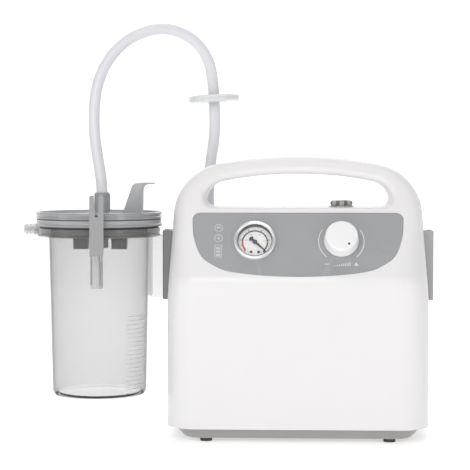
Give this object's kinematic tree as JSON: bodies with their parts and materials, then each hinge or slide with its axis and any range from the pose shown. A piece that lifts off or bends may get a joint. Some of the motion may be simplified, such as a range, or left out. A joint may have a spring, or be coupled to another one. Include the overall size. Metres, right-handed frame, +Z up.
{
  "type": "suction pump",
  "caption": "Portable electric medical suction unit: white casing with carrying handle, vacuum gauge and regulator, and a clear collection jar hanging on a side rail, joined by a filtered hose.",
  "frame": {"origin": "on the floor, below the middle of the whole object with its jar", "axes": "+X to the right of someone facing the controls, +Y to the rear, +Z up"},
  "size_m": [0.491, 0.1696, 0.4954],
  "materials": {
    "casing_white": "fine satin moulded ABS",
    "tray_grey": "satin moulded ABS",
    "panel_grey": "fine satin",
    "rail_grey": "fine texture",
    "rubber_dark": "matt",
    "rubber_clear": "translucent silicone",
    "silicone_hose": "translucent silicone",
    "knob_white": "satin",
    "lens_clear": "clear polycarbonate",
    "dial_white": "printed",
    "needle_black": "satin black",
    "steel": "bright",
    "brass": "turned",
    "alloy": "cast",
    "black_plastic": "satin",
    "jar_clear": "clear polycarbonate",
    "lid_grey": "satin",
    "gasket": "matt",
    "window_grey": "smoked window",
    "battery_blue": "shrink sleeve",
    "board_green": "solder mask",
    "pipe_clear": "translucent",
    "filter_white": "translucent",
    "membrane": "felted PTFE membrane"
  },
  "bodies": {
    "root": {"base_tray": "tray_grey", "battery_pack": "battery_blue", "casing_screws": "steel", "control_board": "board_green", "control_panel": "panel_grey", "crankcase": "alloy", "cylinder": "alloy", "cylinder_head": "alloy", "dc_inlet": "black_plastic", "exhaust_silencer": "black_plastic", "front_shell": "casing_white", "gauge_bezel": "knob_white", "gauge_case": "black_plastic", "gauge_dial": "dial_white", "gauge_lens": "lens_clear", "gauge_pipe": "pipe_clear", "head_screws": "steel", "indicator_window": "window_grey", "motor_bearings": "steel", "motor_can": "steel", "motor_magnets": "steel", "pump_frame": "steel", "pump_mounts": "rubber_dark", "rear_shell": "casing_white", "regulator_body": "brass", "regulator_nut": "brass", "rubber_feet": "rubber_dark", "side_rail_left": "rail_grey", "side_rail_right": "rail_grey", "standoffs": "black_plastic", "switch_body": "black_plastic", "switch_boot": "rubber_clear", "vacuum_inlet": "lid_grey", "vacuum_pipe": "pipe_clear", "valve_plate": "alloy"},
    "jar_unit": {"jar": "jar_clear", "jar_lid": "lid_grey", "lid_gasket": "gasket", "latch_pins": "steel", "hose_connector": "lid_grey", "float_cage": "jar_clear", "hose_long": "silicone_hose", "hose_short": "silicone_hose", "filter_upper": "filter_white", "filter_lower": "filter_white", "filter_membrane": "membrane"},
    "front_latch": {"latch_front": "lid_grey"},
    "rear_latch": {"latch_rear": "lid_grey"},
    "float_unit": {"float": "filter_white"},
    "regulator": {"regulator_knob": "knob_white", "regulator_spindle": "brass"},
    "needle": {"gauge_needle": "needle_black"},
    "rocker": {"switch_rocker": "black_plastic"},
    "rotor": {"motor_shaft": "steel", "armature": "steel", "cooling_fan": "black_plastic", "crank_disc": "alloy"},
    "piston": {"piston_rod": "alloy", "big_end_bearing": "steel", "piston_cup": "rubber_dark"}
  },
  "joints": [
    {"name": "jar_lift", "type": "slide", "parent": "root", "child": "jar_unit", "axis": [0, 0, 1], "range_m": [0, 0.085]},
    {"name": "latch_front_open", "type": "hinge", "parent": "jar_unit", "child": "front_latch", "pos_m": [-0.14759, -0.079, 0.256], "axis": [-0.9962, -0.0872, 0], "range_deg": [0, 16], "stiffness_Nm_per_rad": 0.05},
    {"name": "latch_rear_open", "type": "hinge", "parent": "jar_unit", "child": "rear_latch", "pos_m": [-0.16141, 0.079, 0.256], "axis": [0.9962, 0.0872, 0], "range_deg": [0, 16], "stiffness_Nm_per_rad": 0.05},
    {"name": "float_rise", "type": "slide", "parent": "jar_unit", "child": "float_unit", "axis": [0, 0, 1], "range_m": [0, 0.0125]},
    {"name": "regulator_turn", "type": "hinge", "parent": "root", "child": "regulator", "pos_m": [0.135, -0.05662, 0.23397], "axis": [0, -0.8829, 0.4695], "range_deg": [0, 270]},
    {"name": "needle_turn", "type": "hinge", "parent": "root", "child": "needle", "pos_m": [0.0345, -0.05485, 0.23303], "axis": [0, -0.8829, 0.4695], "range_deg": [0, 266], "stiffness_Nm_per_rad": 0.0001},
    {"name": "switch_rock", "type": "hinge", "parent": "root", "child": "rocker", "pos_m": [0.1365, -0.01, 0.271], "axis": [0, -1, 0], "range_deg": [0, 20]},
    {"name": "rotor_spin", "type": "hinge", "parent": "root", "child": "rotor", "pos_m": [0.1445, 0.012, 0.076], "axis": [1, 0, 0], "continuous": true},
    {"name": "rod_swing", "type": "hinge", "parent": "rotor", "child": "piston", "pos_m": [0.156, 0.012, 0.0795], "axis": [1, 0, 0], "continuous": true}
  ],
  "couplings": [
    {"joint": "rod_swing", "follows": "rotor_spin", "ratio": -1}
  ]
}
